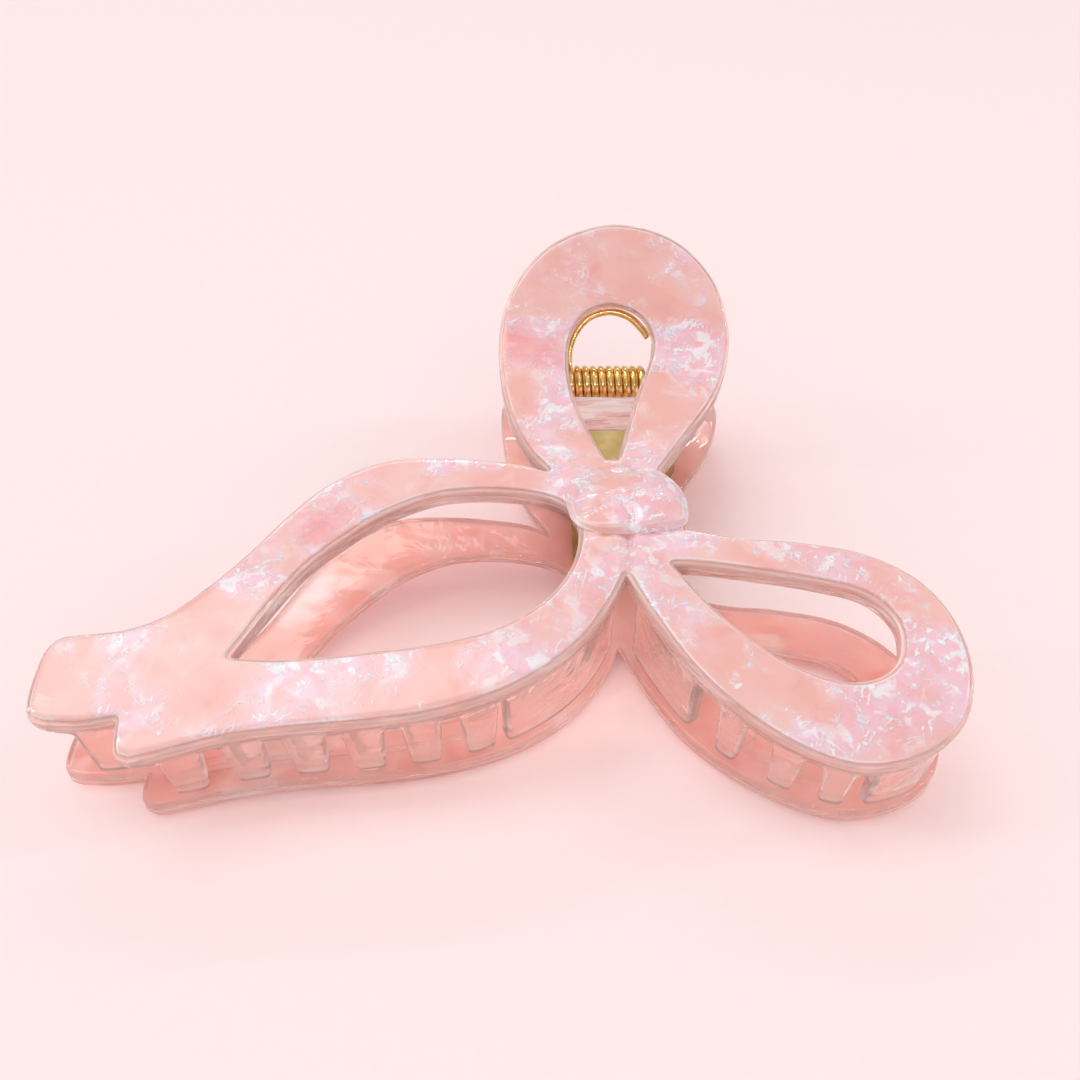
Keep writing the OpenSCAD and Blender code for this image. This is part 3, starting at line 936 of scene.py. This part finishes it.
def tooth(curtain, x, widths):
    """A tooth's drop, centred at x: its sides lean in towards the tip."""
    root_w, tip_w = widths
    s = curtain.at_x(x)
    z = under(curtain.point(s, curtain.middle)[1])
    wide = tip_w + (root_w - tip_w) * (z - RAIL_H + TAPER_PAST) / TAPER_LENGTH
    narrow = tip_w + (root_w - tip_w) * (TIP_GAP - z + TAPER_PAST) / TAPER_LENGTH
    return (s - wide / 2, s + wide / 2, s - narrow / 2, s + narrow / 2)


def wall(curtain, x0, x1):
    """A drop with straight sides."""
    a, b = curtain.at_x(x0), curtain.at_x(x1)
    return (a, b, a, b)


def join(*parts):
    """Several shapes as one."""
    verts, faces, gaps, depths = [], [], [], []
    for v, f, g, d in parts:
        faces += [[i + len(verts) for i in face] for face in f]
        verts += v
        gaps += g
        depths += d
    return verts, faces, gaps, depths


def combs(clear):
    """Front combs near the rim, and back combs inside them with teeth in the gaps."""
    inner = COMB_INSET + COMB_T + COMB_GAP
    low = Curtain(tail_low_rim, start_x=-56, end_x=-0.3, inset=COMB_INSET, side=1)
    teeth = [tooth(low, TAIL_TOOTH_X - k * TAIL_PITCH, TAIL_TOOTH) for k in range(5, -1, -1)]
    teeth.append(wall(low, x0=-14.4, x1=0.2))
    cut = Curtain(tail_cut_rim, start_x=-67.4, end_x=-59.2, inset=COMB_INSET, side=1)
    shape = join(comb(low, teeth), comb(cut, [tooth(cut, -62.6, CUT_TOOTH)]))
    finish_mesh("front_tail_teeth", shape, FRONT, ["front_tail_comb"], clear)

    bow = Curtain(bow_rim[:8], start_x=0.7, end_x=37, inset=COMB_INSET, side=1)
    teeth = [wall(bow, x0=0, x1=7.6)]
    teeth += [tooth(bow, LOOP_TOOTH_X + k * LOOP_PITCH, LOOP_TOOTH) for k in range(3)]
    teeth.append(wall(bow, x0=27.8, x1=40))
    finish_mesh("front_loop_teeth", comb(bow, teeth), FRONT, ["front_loop_comb"],
                clear)

    low = Curtain(tail_low_rim, start_x=-56, end_x=-16, inset=inner, side=-1)
    gaps = [TAIL_TOOTH_X - (k + 0.5) * TAIL_PITCH for k in range(4, -1, -1)]
    teeth = [tooth(low, x, TAIL_TOOTH) for x in gaps]
    finish_mesh("back_tail_teeth", comb(low, teeth), BACK, ["back_tail_comb"],
                clear)

    bow = Curtain(bow_rim[:8], start_x=11, end_x=26, inset=inner, side=-1)
    gaps = [LOOP_TOOTH_X + (k + 0.5) * LOOP_PITCH for k in range(2)]
    teeth = [tooth(bow, x, LOOP_TOOTH) for x in gaps]
    finish_mesh("back_loop_teeth", comb(bow, teeth), BACK, ["back_loop_comb"],
                clear)


# ---------------------------------------------------------------- spring


def tube(path, radius, sides=14):
    """Vertices and faces of a round wire along a path, with slightly rounded ends."""
    # Each end stands out by one share of the radius and narrows to the other
    end_out, end_r = 0.3, 0.7
    path = np.array(path, float)
    tangent = np.gradient(path, axis=0)
    tangent /= np.linalg.norm(tangent, axis=1)[:, None]
    side = np.cross(tangent[0], (0.3, 0.5, 0.8))
    rings = []
    for p, t in zip(path, tangent):
        side = side - t * side.dot(t)
        side /= np.linalg.norm(side)
        rings.append((p, side, np.cross(t, side), radius))
    head = (path[0] - tangent[0] * radius * end_out, *rings[0][1:3], radius * end_r)
    foot = (path[-1] + tangent[-1] * radius * end_out, *rings[-1][1:3], radius * end_r)
    rings = [head] + rings + [foot]
    verts, faces = [], []
    for p, u, v, r in rings:
        for k in range(sides):
            a = 2 * math.pi * k / sides
            verts.append(world(*(p + r * (math.cos(a) * u + math.sin(a) * v))))
    for i in range(len(rings) - 1):
        for k in range(sides):
            n = (k + 1) % sides
            faces.append([i * sides + k, (i + 1) * sides + k, (i + 1) * sides + n, i * sides + n])
    faces.append(list(range(sides)))
    faces.append([(len(rings) - 1) * sides + k for k in range(sides)])
    return verts, faces


def spring(gold):
    """Coil round the pin and an arm to each half."""
    radius = (COIL_D - WIRE_D) / 2
    steps = 40
    coil = []
    for k in range(int(TURNS * steps) + 1):
        a = (k / steps - TURNS / 2) * 2 * math.pi
        coil.append((a / (2 * math.pi) * WIRE_PITCH, radius * math.cos(a), radius * math.sin(a)))
    hand = [
        (-6.1, 1.7, 2.6), (-5.9, 3.5, 4.5), (-4.8, 5.3, 6.4), (-2.8, 6.8, 7.8), (0.4, 7.4, 8.4),
        (3.4, 6.8, 7.8), (5.4, 5.4, 6.6), (6.3, 4.3, 5.8),
    ]
    arm = np.array(smooth([coil[0]] + hand, 6) + [np.array(hand[-1], float)])
    end_x = coil[-1][0]
    made = finish_mesh("spring_coil", tube(coil, WIRE_D / 2), None, [], gold)
    world(end_x, 0, 0)
    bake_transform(made)
    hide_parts("torsion_spring")
    finish_mesh("spring_front_arm", tube(arm, WIRE_D / 2), FRONT, [], gold)
    finish_mesh("spring_back_arm", tube(arm * (-1, 1, -1), WIRE_D / 2), BACK, [],
                gold)


def dress_cad(gold, brass):
    """The hinge's metal parts keep their CAD shape and get finished metal."""
    finishes = {
        "hinge_pin": gold, "front_rivets": gold, "back_rivets": gold,
        "front_bracket": brass, "back_bracket": brass,
    }
    for name, material in finishes.items():
        node = frame["nodes"][name]
        node.data.materials.clear()
        node.data.materials.append(material)


# ---------------------------------------------------------------- setting


def floor():
    """A plain pale floor, three metres to each side."""
    mesh = bpy.data.meshes.new("floor")
    size = 3.0
    mesh.from_pydata([(-size, -size, 0), (size, -size, 0), (size, size, 0), (-size, size, 0)],
                     [], [(0, 1, 2, 3)])
    mesh.materials.append(floor_paper())
    obj = bpy.data.objects.new("floor", mesh)
    bpy.context.scene.collection.objects.link(obj)


def strip(name, at, size, power):
    """A thin lamp aimed at the clip, which draws a highlight along its edges."""
    data = bpy.data.lights.new(name, "AREA")
    data.shape = "RECTANGLE"
    data.size, data.size_y = size
    data.energy = power
    obj = bpy.data.objects.new(name, data)
    obj.location = at
    towards = Vector((0, 0, 0)) - Vector(at)
    obj.rotation_euler = towards.to_track_quat("-Z", "Y").to_euler()
    bpy.context.scene.collection.objects.link(obj)


def sky():
    """An even, slightly pink light from all round, brightest overhead."""
    world_data = bpy.data.worlds.new("studio")
    world_data.use_nodes = True
    tree = world_data.node_tree
    back = tree.nodes["Background"]
    back.inputs["Color"].default_value = (1.0, 0.95, 0.945, 1)
    coord = tree.nodes.new("ShaderNodeTexCoord")
    split = tree.nodes.new("ShaderNodeSeparateXYZ")
    fade = tree.nodes.new("ShaderNodeMapRange")
    fade.interpolation_type = "SMOOTHSTEP"
    fade.inputs["From Min"].default_value = -0.1
    fade.inputs["From Max"].default_value = 0.95
    fade.inputs["To Min"].default_value = 0.46
    fade.inputs["To Max"].default_value = 0.65
    tree.links.new(coord.outputs["Generated"], split.inputs[0])
    tree.links.new(split.outputs["Z"], fade.inputs["Value"])
    tree.links.new(fade.outputs["Result"], back.inputs["Strength"])
    bpy.context.scene.world = world_data


def lamps():
    """A soft sun, and thin strips for the edges."""
    sun = bpy.data.lights.new("sun", "SUN")
    sun.energy = 0.6
    sun.angle = math.radians(30)
    lamp = bpy.data.objects.new("sun", sun)
    lamp.rotation_euler = Vector((0.4, -0.35, -1.3)).to_track_quat("-Z", "Y").to_euler()
    bpy.context.scene.collection.objects.link(lamp)
    strip("strip_left", at=(-0.6, 0.0, 0.45), size=(0.012, 0.6), power=0.8)
    strip("strip_right", at=(0.6, 0.1, 0.4), size=(0.012, 0.5), power=0.7)
    strip("strip_back", at=(-0.1, 0.7, 0.6), size=(0.7, 0.01), power=0.8)
    strip("strip_low", at=(0.1, -0.7, 0.4), size=(0.6, 0.01), power=0.7)


def camera():
    """The photo's viewpoint, in the clip's own frame: in front of the jaws and above them."""
    eye = (-10.65, -127.8, 113.4)
    pitch = math.radians(40)
    data = bpy.data.cameras.new("camera")
    data.angle = math.radians(53.99)
    obj = bpy.data.objects.new("camera", data)
    obj.location = world(*eye)
    obj.rotation_euler = (pitch + TILT, 0, 0)
    data.clip_start = 0.005
    bpy.context.scene.collection.objects.link(obj)
    bpy.context.scene.camera = obj


def main():
    clear, flaked = clear_acetate(), flaked_acetate()
    gold, brass = gold_wire(), brass_sheet()
    plates(clear, flaked)
    knots(flaked)
    hinge_bars(bar_acetate())
    combs(clear)
    spring(gold)
    dress_cad(gold, brass)
    floor()
    sky()
    lamps()
    camera()
    bpy.context.scene.view_settings.view_transform = "Standard"


main()
